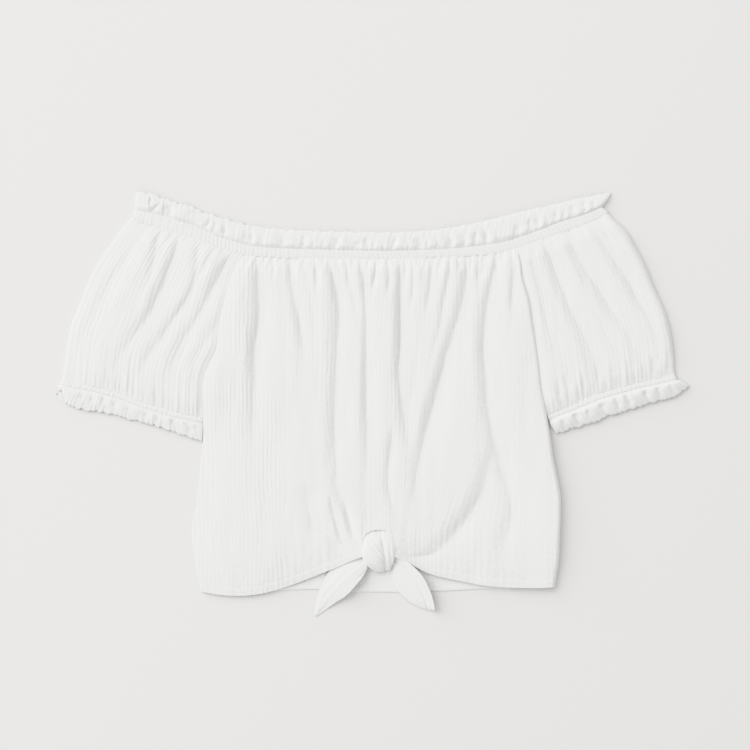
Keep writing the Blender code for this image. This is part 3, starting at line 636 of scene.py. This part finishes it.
def makeSleeve(name, side, outer, top, cuff, folds, neckFrom, neckRun, form):
    s = {**sleeveShape, **form}
    seed = s["seed"]
    inner, _ = cutAt(smoothLine(side), 1, cuff[0][1])
    outer, cuff = smoothLine(outer), smoothLine(cuff)
    u = np.linspace(0, 1, s["columns"] + 1)
    v = closerAtEnds(s["rows"], s["length"], 24, 0.24)
    plan = patch(spaced(top, u), spaced(cuff, u), spaced(inner, v), spaced(outer, v), u, v)
    outwards = unit(plan[:, -1] - plan[:, -3])
    plan = plan - outwards[:, None] * (s["fold"] / 2 / planUnit) * u[None, :, None]
    lap = unit(plan[:, 0] - plan[:, 2])[:, None] * seamLap * np.clip(1 - u * 40, 0, 1)[None, :, None]
    width = np.linalg.norm(plan[:, -1] - plan[:, 0], axis=-1)[:, None]
    u, down = u[None], v[:, None] * s["length"]
    up = s["length"] - down
    across = u * s["width"]
    puff = fullness(plan, folds)
    puff = puff * (1 - neckGathers((neckFrom + neckRun * u) / neckWhole, down))
    puff = puff * (1 - 0.5 * gathers(u, 25, seed + 1) * np.exp(-up / 8))
    puff = puff * (1 - 0.5 * gathers(u, 13, seed + 2) * np.exp(-up / 18))
    puff = puff * (s["seamKept"] + (1 - s["seamKept"]) * eased(u * width, s["seamRoll"]))
    puff = puff * s["rim"]((1 - u) * width, s["rimReach"])
    puff = puff * (1 - s["outerDrop"] * np.clip(1 - (1 - u) * width / 60, 0, 1))
    puff = puff * (s["neckKept"] + (1 - s["neckKept"]) * eased(down, s["endRoll"]))
    puff = puff * (s["cuffKept"] + (1 - s["cuffKept"]) * eased(up, s["endRoll"]))
    wrinkles = 1.4 * softNoise(across, down, 15, 70, seed + 50)
    wrinkles = wrinkles + 0.7 * softNoise(across, down, 6, 30, seed + 51)
    edge = rounded((1 - u) * width, 6)
    height = s["fold"] + s["puff"] * puff + s["wrinkle"] * wrinkles * (0.3 + 0.7 * puff) * edge
    height = height + s["ribs"] * s["rib"] * crinkle(across, down + 0 * across, seed + 60) * edge
    front = toWorld(plan + lap, np.maximum(height, s["lowest"]))
    front[:, -1, 2] = s["fold"]
    under = hiddenSide(front, s["wall"], 0.0013)
    under[:, -1, 2] = s["fold"] - s["wall"]
    turned, inside = turnUnder(plan[:, -1], outwards, np.full(len(v), s["fold"]), s["wall"])
    back = plan[:, ::-3]
    shown = np.concatenate([front, turned, toWorld(back, 0)], axis=1)
    hidden = np.concatenate([under, inside, toWorld(back, 0.0009)], axis=1)
    steps = np.linalg.norm(np.diff(shown[len(v) // 2, :, :2], axis=0), axis=-1)
    run = np.concatenate([[0], np.cumsum(steps)])[None] / planUnit
    return layCloth(name, shown, hidden, cutPlaces(run, down), laidGauze)


leftTop, _, rightTop = neckParts()
leftSleeve = makeSleeve("sleeve_cloth_left", bodyLeft, leftSleeveOuter, leftTop[::-1], leftCuffSeam,
                        leftSleeveFolds + leftSleevePleats, neckLengths[0], -neckLengths[0], leftSleeveForm)
rightSleeve = makeSleeve("sleeve_cloth_right", bodyRight, rightSleeveOuter, rightTop, rightCuffSeam,
                         rightSleeveFolds + rightSleevePleats, neckLengths[0] + neckLengths[1],
                         neckLengths[2], rightSleeveForm)
print("sleeves done")


ringShape = {"wall": 0.0005, "fold": 0.0030, "floor": 0.0012, "backSway": 0.3}


def makeRing(name, near, far, rise, sway, columns, backColumns, rows, start, pulled=None):
    # A band that runs once round, pressed flat. rise gives its front's height over (share round,
    # share up, plan) and sway its points' shift along and up, in plan units. pulled gives the share
    # of its depth that its front keeps, where the front is drawn back from an open end.
    near, far = smoothLine(near), smoothLine(far)
    length = lineLength(near)
    wall = ringShape["wall"]
    inset = ringShape["fold"] / 2 / planUnit / length
    v = np.linspace(start, 1, rows + 1)[:, None]

    def laid(count, wave, kept=None):
        share = np.linspace(inset, 1 - inset, count + 1)
        a, b = spaced(near, share), spaced(far, share)
        if kept:
            b = a + (b - a) * kept(share)[:, None]
        up = unit(b - a)
        ahead = unit(np.gradient(a, axis=0))
        along, out = sway(share[None], v)
        place = a + v[..., None] * (b - a)
        return place + wave * (along[..., None] * ahead + out[..., None] * up), share[None]

    plan, share = laid(columns, 1, pulled)
    back = laid(backColumns, ringShape["backSway"])[0][:, ::-1]
    front = toWorld(plan, rise(share, v, plan))
    under = hiddenSide(front, wall, ringShape["floor"])
    ends = []
    for edge, nextIn in ((-1, -3), (0, 2)):
        under[:, edge, 2] = front[:, edge, 2] - wall
        ends.append(turnUnder(plan[:, edge], unit(plan[:, edge] - plan[:, nextIn]), front[:, edge, 2], wall))
    (right, rightIn), (left, leftIn) = ends
    shown = np.concatenate([front, right, toWorld(back, 0), left[:, ::-1], front[:, :1]], axis=1)
    hidden = np.concatenate([under, rightIn, toWorld(back, wall), leftIn[:, ::-1], under[:, :1]], axis=1)
    steps = np.linalg.norm(np.diff(shown[0], axis=0), axis=-1)
    run = np.concatenate([[0], np.cumsum(steps)])[None] / planUnit
    tall = np.linalg.norm(near[len(near) // 2] - far[len(far) // 2])
    return layCloth(name, shown, hidden, cutPlaces(run, v * tall), gatheredGauze)


def hollows(plan, table):
    # Places where a flap folds over and shows its shaded inner side: x, y, half width, half height,
    # lean and depth
    sunk = np.zeros(plan.shape[:2])
    for x, y, halfWide, halfTall, lean, depth in table:
        across = (plan[..., 0] - x - lean * (plan[..., 1] - y)) / halfWide
        down = (plan[..., 1] - y) / halfTall
        inside = 1 / (1 + np.exp(np.clip(7 * (np.abs(across) + 0.7 * np.abs(down) - 1), -40, 40)))
        sunk = np.maximum(sunk, depth * inside * (0.55 + 0.45 * np.clip(across, -1, 1)))
    return sunk


ruffleShape = {"root": 0.0031, "edgeDrop": 0.0016, "lowest": 0.0016, "pucker": 0.0002, "rib": 0.00014,
               "lip": 0.0003, "depth": 20, "start": -0.1}


def makeRuffle(name, near, far, waves, seed, columns, backColumns, rows, slits, sunken, body, roll=0.0,
               pulled=None):
    s = ruffleShape
    length = lineLength(smoothLine(near))

    def rise(share, v, plan):
        ends = rounded(np.minimum(share, 1 - share) * waves, 0.8)
        wave = 0.6 + 0.4 * np.sin(unevenPhase(share, waves, seed) + 1.2 * v)
        full = 1 - (1 - fullness(plan, slits)) * np.clip(5 * v, 0, 1) - hollows(plan, sunken)
        small = 0.5 + 0.5 * np.sin(unevenPhase(share, waves * 3.3, seed + 4) + 0.8 * v)
        curl = roll * np.exp(-((share / 0.035) ** 2)) * v
        ribs = crinkle(share * length, v * s["depth"] + 0 * share, seed + 70)
        lip = np.exp(-(((v - 0.93) / 0.05) ** 2))
        up = np.clip(v, 0, 1)
        swell = eased(up, 0.28) * (1 - 0.8 * up**2)
        relief = body * swell * (0.8 + 0.2 * wave) * full + s["pucker"] * small * full
        relief = relief + s["rib"] * ribs + s["lip"] * lip
        return np.maximum(s["root"] - s["edgeDrop"] * up**2 + ends * relief + curl, s["lowest"])

    def sway(share, v):
        phase = unevenPhase(share, waves, seed)
        small = unevenPhase(share, waves * 2.3, seed + 9)
        up = np.clip(v, 0, 1)
        along = length / waves * 0.04 * up**1.3 * np.sin(phase + 2.4)
        out = up**2 * (0.6 * np.sin(phase - 1.1) + 0.5 * np.sin(small) - 0.4)
        return along, out

    return makeRing(name, near, far, rise, sway, columns, backColumns, rows, s["start"], pulled)


casingShape = {"height": 0.0034, "plump": 0.0006, "gather": 0.0006}


def makeCasing(name, near, far, waves, seed, columns, backColumns, rows, start):
    # The elastic's channel; it starts below its seam, at a share of its depth under the next piece
    def rise(share, v, plan):
        ends = rounded(np.minimum(share, 1 - share) * waves, 1.5)
        plump = rounded(np.clip(np.minimum(v, 1 - v), 0, 1), 0.3)
        wave = 0.7 * gathers(share, waves, seed) + 0.4 * gathers(share, waves * 0.53, 1)
        return casingShape["height"] + ends * (casingShape["plump"] * plump + casingShape["gather"] * wave)

    def sway(share, v):
        drift = 0.15 * np.sin(2 * math.pi * (share * waves * 0.31 + 0.7 * v))
        return drift + 0 * v, 0 * share + 0 * v

    return makeRing(name, near, far, rise, sway, columns, backColumns, rows, start)


# Dark slits between the header's flaps: plan points, depth, and the widths of the two walls
neckSlits = [
    (156, 216, 153, 206, 0.8, 1.6, 3), (166, 218, 166, 204, 0.6, 1.6, 4), (172, 220, 171, 202, 0.95, 1.4, 4),
    (206, 231, 213, 216, 0.85, 1.6, 4), (213, 232, 219, 218, 0.6, 1.4, 3), (227, 236, 226, 218, 0.95, 1.5, 5),
    (236, 238, 236, 224, 0.4, 1.4, 3), (247, 241, 247, 228, 0.5, 1.4, 4), (252, 244, 254, 224, 0.95, 1.5, 5),
    (264, 245, 263, 230, 0.4, 1.4, 3), (283, 248, 284, 230, 0.5, 1.6, 4), (304, 249, 306, 232, 0.95, 1.5, 5),
    (314, 250, 315, 238, 0.5, 1.4, 3), (325, 250, 324, 236, 0.5, 1.4, 3), (336, 251, 342, 234, 0.95, 1.6, 5),
    (362, 250, 359, 238, 0.6, 1.4, 4), (369, 250, 369, 232, 0.85, 1.6, 5), (376, 250, 374, 238, 0.5, 1.4, 3),
    (385, 250, 382, 236, 0.4, 1.4, 3), (394, 250, 398, 234, 0.95, 1.5, 5), (411, 250, 407, 236, 0.6, 1.4, 3),
    (423, 250, 418, 235, 0.75, 1.5, 4), (428, 249, 427, 236, 0.5, 1.4, 3), (441, 249, 436, 233, 0.6, 1.5, 4),
    (453, 247, 449, 230, 0.7, 1.6, 4), (467, 246, 462, 230, 0.6, 1.5, 4), (477, 244, 478, 226, 0.8, 1.5, 4),
    (489, 243, 484, 226, 0.85, 1.8, 5), (500, 242, 497, 226, 0.4, 1.4, 3), (520, 236, 518, 222, 0.6, 1.6, 4),
    (532, 232, 530, 214, 0.85, 1.5, 5), (540, 229, 538, 212, 0.8, 1.5, 4), (548, 226, 546, 212, 0.4, 1.4, 3),
    (558, 223, 556, 206, 0.9, 1.5, 5), (566, 220, 565, 205, 0.5, 1.4, 3),
    (160, 203, 153, 209, 145, 211, 136, 207, 0.6, 0.9, 2),
    (214, 217, 204, 213, 190, 212, 181, 215, 0.45, 0.9, 3),
    (147, 193, 150, 199, 0.6, 0.8, 2), (576, 217, 574, 200, 0.85, 1.5, 4),
    (587, 213, 585, 198, 0.9, 1.6, 4), (596, 209, 594, 198, 0.5, 1.4, 3),
]
neckHollows = [
    (192, 220, 12, 7, 0.0, 0.45), (282, 239, 8, 6, 0.6, 0.45), (352, 244, 7, 6, 0.5, 0.6),
    (416, 244, 6, 6, 0.7, 0.6), (447, 240, 7, 7, 0.5, 0.55), (461, 239, 6, 7, 0.5, 0.5),
    (484, 234, 5, 9, 0.4, 0.6), (514, 226, 10, 6, 0.1, 0.45), (533, 222, 5, 7, 0.0, 0.3),
    (568, 210, 5, 6, 0.2, 0.35), (150, 201, 2.5, 3, 0.0, 1.0), (166, 211, 6, 8, 0.0, 0.4),
]
leftCuffSlits = [
    (90, 392, 90, 406, 0.8, 2, 5), (99, 394, 106, 409, 0.8, 1.6, 4), (112, 399, 113, 413, 0.8, 1.6, 4),
    (122, 401, 131, 416, 0.6, 1.5, 4), (141, 408, 147, 421, 0.8, 1.6, 5), (155, 413, 158, 426, 0.5, 1.5, 4),
    (170, 418, 178, 433, 0.8, 1.6, 5), (184, 421, 192, 437, 0.8, 1.8, 5), (195, 423, 197, 438, 0.6, 1.5, 4),
    (80, 390, 82, 404, 0.5, 1.5, 4),
]
leftCuffHollows = [(104, 409, 5, 4, 0.3, 0.4), (134, 417, 6, 4, 0.3, 0.4), (163, 426, 5, 4, 0.3, 0.35)]
rightCuffSlits = [
    (560, 417, 566, 431, 0.4, 1.5, 4), (572, 412, 581, 426, 0.9, 1.5, 5), (585, 408, 590, 421, 0.5, 1.4, 4),
    (597, 402, 607, 416, 0.9, 1.5, 5), (612, 397, 620, 412, 0.9, 1.5, 4), (624, 394, 632, 408, 0.9, 1.5, 4),
    (641, 389, 649, 403, 0.9, 1.5, 4), (655, 386, 661, 399, 0.8, 1.5, 4), (668, 383, 674, 395, 0.5, 1.5, 4),
]
neckCasing = makeCasing("neck_casing_cloth", neckSeam, neckCasingTop, 110, 2, 700, 120, 9, -0.12)
leftCasing = makeCasing("cuff_casing_cloth_left", leftCuffSeam, leftCasingEdge, 34, 4, 200, 50, 6, -0.25)
rightCasing = makeCasing("cuff_casing_cloth_right", rightCuffSeam, rightCasingEdge, 31, 5, 190, 50, 6, -0.25)
neckRuffle = makeRuffle("neck_ruffle_cloth", neckCasingTop, neckRuffleTop, 29, 7, 760, 160, 20, neckSlits,
                        neckHollows, body=0.0042, roll=0.002)
leftRuffle = makeRuffle("cuff_ruffle_cloth_left", leftCasingEdge, leftCuffHem, 11, 8, 260, 80, 16,
                        leftCuffSlits, leftCuffHollows, body=0.0034,
                        pulled=lambda share: 1 - 0.55 * np.clip((share - 0.87) / 0.1, 0, 1) ** 2)
rightRuffle = makeRuffle("cuff_ruffle_cloth_right", rightCasingEdge, rightCuffHem, 10, 9, 260, 80, 16,
                         rightCuffSlits, [], body=0.0060)
print("casings and ruffles done")

# Knot and tie ends

knotBase = 0.0016
# y, left edge, right edge and top of each section
frontStrand = [(526, 369, 384, 0.0048), (531, 366.4, 384.5, 0.0072), (536, 364, 384, 0.0100),
               (542, 363.4, 384, 0.0128), (549, 361.6, 385, 0.0142), (556, 362.2, 386, 0.0144),
               (562, 364.2, 385.6, 0.0130), (567, 368.5, 385, 0.0104), (572, 375, 383.5, 0.0062)]
sideStrand = [(527, 378, 389, 0.0056), (532, 380, 393, 0.0090), (538, 380.5, 395, 0.0110),
              (545, 381.5, 395.6, 0.0120), (552, 382.5, 395.6, 0.0122), (559, 383, 394.4, 0.0108),
              (565, 383.5, 392.4, 0.0082), (570.5, 384, 390, 0.0052)]


strandShape = {"crease": 0.0006, "fineCrease": 0.0003, "rim": 0.0008, "tuck": 1, "middle": 550,
               "roundness": 0.85, "crown": 0.8, "cutAcross": 0.0006, "cutDown": 0.0008}


def makeStrand(name, sections, rows, arcSteps, lean, rims, seed):
    # A bunched strand of the knot: arched sections over a flat base, closed at both ends. rims
    # gives how much of its top its left and right rims keep.
    s = strandShape
    table = np.array(sections)
    y = np.linspace(table[0, 0], table[-1, 0], rows + 1)
    dense = smoothLine(table[:, [0, 3]])
    top = np.interp(y, dense[:, 0], dense[:, 1])[:, None]
    left, right = [np.interp(y, *smoothLine(table[:, [0, k]]).T)[:, None] for k in (1, 2)]
    y = y[:, None]
    arc = np.linspace(math.pi, 0, arcSteps + 1)[None]
    rim = np.linspace(*rims, arcSteps + 1)[None]
    middle, half = (left + right) / 2, (right - left) / 2
    x = middle + half * np.sign(np.cos(arc)) * np.abs(np.cos(arc)) ** s["roundness"]
    slant = x - lean * (y - s["middle"])
    creases = s["crease"] * softNoise(slant, y, 2.4, 30, seed)
    creases = creases + s["fineCrease"] * softNoise(slant, y, 1.3, 14, seed + 1)
    arch = rim + (1 - rim) * np.sin(arc) ** s["crown"]
    z = knotBase + np.maximum(top - knotBase + creases, 0.001) * arch
    z[:, 0] = z[:, -1] = knotBase + s["rim"]
    under = np.concatenate([right - s["tuck"], middle, left + s["tuck"]], axis=1)
    x = np.concatenate([x, under, x[:, :1]], axis=1)
    z = np.concatenate([z, np.full_like(under, knotBase), z[:, :1]], axis=1)
    shown = toWorld(np.stack([x, np.broadcast_to(y, x.shape)], axis=-1), z)
    row, column = np.indices(x.shape)
    cut = np.stack([column * s["cutAcross"], row * s["cutDown"]], axis=-1)
    return layCloth(name, shown, None, cut, knottedGauze)


tieShape = {"rows": 84, "columns": 48, "wall": 0.0007, "length": 60, "crown": 0.0022, "pleat": 0.0006,
            "wrinkle": 0.0004, "rib": 0.00018, "hemDepth": 7.5, "lowest": 0.0008, "floor": 0.0002}
leftTieHeights = (0.0074, 0.0098, 0.0088, 0.0046, 0.0016, 0.0008)
rightTieHeights = (0.0066, 0.0084, 0.0098, 0.0102, 0.0092, 0.0078)
tieLeftUpper = [(364.2, 554.5), (347, 560), (331, 569), (323.6, 580.5), (319.5, 590), (315, 604), (314.2, 614)]
tieLeftLower = [(367.6, 568), (362.5, 577), (356, 585), (347, 595), (334, 604), (322, 612.5), (315.4, 617)]
tieRightInner = [(391.2, 556), (390.6, 567), (390, 577.5), (393, 586), (401, 594.5), (412, 603.5),
                 (425, 609.6), (433.5, 611)]
tieRightOuter = [(398, 556), (409.5, 563), (418, 570.5), (424, 578), (429, 588), (432, 596),
                 (433.6, 603), (434.8, 609.5)]


def makeTie(name, left, right, heights, ridge, hemAt, hemHeight, tilt, seed):
    # heights runs from the knot to the tip. hemAt is the edge with the turned hem, and tilt is how
    # far the left edge drops towards the surface.
    s = tieShape
    v = np.linspace(0, 1, s["rows"] + 1)
    u = np.linspace(0, 1, s["columns"] + 1)
    a, b = spaced(smoothLine(left), v), spaced(smoothLine(right), v)
    plan = a[:, None] + u[None, :, None] * (b - a)[:, None]
    width = np.linalg.norm(b - a, axis=-1)[:, None]
    steps = len(heights) - 1
    lift = np.interp(v, *smoothLine([(k / steps, height) for k, height in enumerate(heights)]).T)[:, None]
    down = v[:, None] * s["length"]
    across = (u[None] - 0.5) * width
    crown = s["crown"] * (np.exp(-(((u - ridge) / 0.42) ** 2)) - 0.6) * rounded(width, 30)
    pleats = s["wrinkle"] * softNoise(across, down, 3.5, 30, seed)
    pleats = pleats - s["pleat"] * gathers(u, 5, seed) * np.exp(-down / 14)
    ribs = s["rib"] * crinkle(across, down, seed + 90)
    fromHem = np.abs(u[None] - hemAt) * width
    turned = np.clip((s["hemDepth"] - fromHem) / 1.2, 0, 1) * np.clip(down / 12, 0, 1)
    hem = hemHeight * (turned - 0.9 * np.exp(-(((fromHem - s["hemDepth"] - 0.5) / 0.9) ** 2)))
    height = lift * (1 - tilt * (1 - u)) + crown + pleats + ribs + hem
    shown = toWorld(plan, np.maximum(height, s["lowest"]))
    hidden = hiddenSide(shown, s["wall"], s["floor"])
    return layCloth(name, shown, hidden, cutPlaces(across, down), knottedGauze)


knotPiece = makeStrand("knot_cloth", frontStrand, 64, 56, 0.7, (0.58, 0.3), 81)
sidePiece = makeStrand("knot_strand_cloth", sideStrand, 60, 40, 0.1, (0.4, 0.7), 85)
leftTie = makeTie("tie_cloth_left", tieLeftUpper, tieLeftLower, leftTieHeights, ridge=0.5, hemAt=0.0,
                  hemHeight=0.0001, tilt=0.45, seed=11)
rightTie = makeTie("tie_cloth_right", tieRightInner, tieRightOuter, rightTieHeights, ridge=0.5, hemAt=1.0,
                   hemHeight=0.0011, tilt=0.82, seed=12)
print("knot and ties done")

# What each piece stands for: its part is hidden and the piece is attached to the root

standsFor = [
    (frontPiece, "front_panel", "gauze"), (backPiece, "back_panel", "gauze"),
    (leftSleeve, "sleeve_left", "gauze"), (rightSleeve, "sleeve_right", "gauze"),
    (neckCasing, "neck_casing", "gathered_gauze"), (neckRuffle, "neck_ruffle", "gathered_gauze"),
    (leftCasing, "cuff_casing_left", "gathered_gauze"), (rightCasing, "cuff_casing_right", "gathered_gauze"),
    (leftRuffle, "cuff_ruffle_left", "gathered_gauze"), (rightRuffle, "cuff_ruffle_right", "gathered_gauze"),
    (knotPiece, "knot", "knotted_gauze"), (leftTie, "tie_left", "knotted_gauze"),
    (rightTie, "tie_right", "knotted_gauze"),
]
for piece, node, slot in standsFor:
    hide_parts(node)
    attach(piece, "root")
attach(sidePiece, "root")

# Floor, light and world

floorBm = bmesh.new()
bmesh.ops.create_grid(floorBm, x_segments=2, y_segments=2, size=6)
floorMesh = bpy.data.meshes.new("floor")
for vert in floorBm.verts:
    vert.co.z = -0.0002
floorBm.to_mesh(floorMesh)
floorBm.free()
floor = bpy.data.objects.new("floor", floorMesh)
bpy.context.scene.collection.objects.link(floor)
# A painted board, rolled on matte, so that it takes soft shadows and has no highlight
floorMaterial = bpy.data.materials.new("matte painted board")
floorMaterial.use_nodes = True
floorShader = floorMaterial.node_tree.nodes["Principled BSDF"]
floorShader.inputs["Base Color"].default_value = toLinear("#E9E8E6")
floorShader.inputs["Roughness"].default_value = 0.95
floorShader.inputs["Specular IOR Level"].default_value = 0.1
floorMesh.materials.append(floorMaterial)


def addLight(name, energy, size, place, hexText):
    lamp = bpy.data.lights.new(name, "AREA")
    lamp.energy, lamp.size = energy, size
    lamp.color = toLinear(hexText)[:3]
    held = bpy.data.objects.new(name, lamp)
    held.location = place
    aim = -np.array(place, float)
    tip = math.atan2(math.hypot(aim[0], aim[1]), -aim[2])
    held.rotation_euler = (tip, 0, math.atan2(aim[1], aim[0]) - math.pi / 2)
    bpy.context.scene.collection.objects.link(held)
    return held


addLight("key light", 370, 6.8, (-4.8, 3.3, 3.5), "#FFFFFF")
world = bpy.data.worlds.new("studio")
world.use_nodes = True
world.node_tree.nodes["Background"].inputs["Color"].default_value = toLinear("#FFFFFF")
world.node_tree.nodes["Background"].inputs["Strength"].default_value = 0.76
bpy.context.scene.world = world
bpy.context.scene.view_settings.view_transform = "Khronos PBR Neutral"
print("floor and light done")
